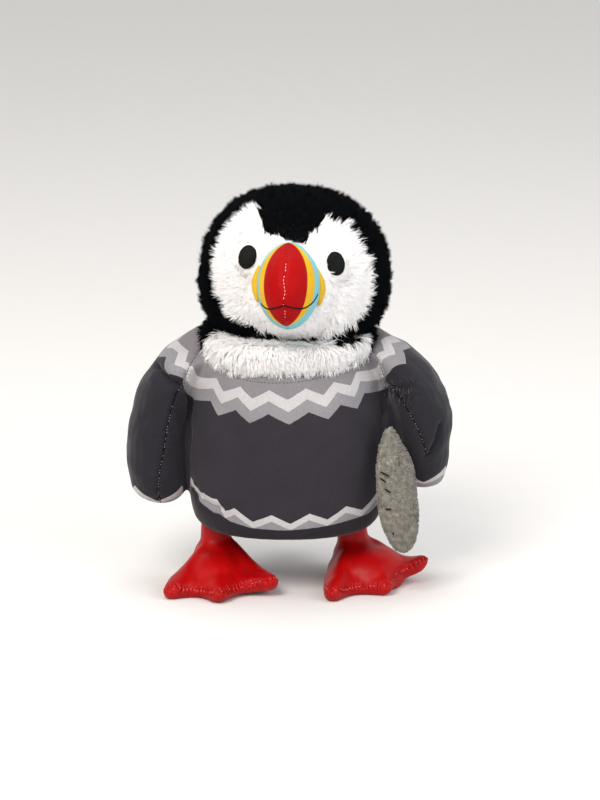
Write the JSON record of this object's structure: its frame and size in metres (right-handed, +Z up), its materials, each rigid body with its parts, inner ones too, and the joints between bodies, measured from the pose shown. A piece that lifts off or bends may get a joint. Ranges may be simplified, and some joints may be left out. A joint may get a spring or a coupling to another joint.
{
  "type": "plush puffin toy",
  "caption": "Plush puffin soft toy that stands on red webbed feet, with a banded bill, a zigzag jumper printed on its body and a small plush fish held under one wing.",
  "frame": {"origin": "centre of the toy's bounding box, on the surface it stands on", "axes": "+Z up, -Y the way the bird faces, +X towards the bird's own left, where it holds the fish"},
  "size_m": [0.213, 0.1632, 0.2648],
  "materials": {
    "black_plush": "black faux fur with pile of about 8 mm, white on the face",
    "white_plush": "white faux fur with pile of about 8 mm",
    "jumper_print": "short velvety stretch cloth printed slate with grey and white zigzag bands",
    "bill_satin": "smooth satin cloth printed red, yellow and turquoise",
    "foot_satin": "smooth red satin cloth over stuffing",
    "eye_thread": "close satin-stitch embroidery in black thread",
    "grey_plush": "grey plush with pile of about 1.5 mm"
  },
  "bodies": {
    "root": {"head": "black_plush", "bill": "bill_satin", "eye_left": "eye_thread", "eye_right": "eye_thread", "neck_ruff": "white_plush", "trunk": "jumper_print", "wing_left": "jumper_print", "wing_right": "jumper_print", "tail": "black_plush", "leg_left": "foot_satin", "leg_right": "foot_satin", "foot_left": "foot_satin", "foot_right": "foot_satin", "fish": "grey_plush"}
  },
  "joints": []
}
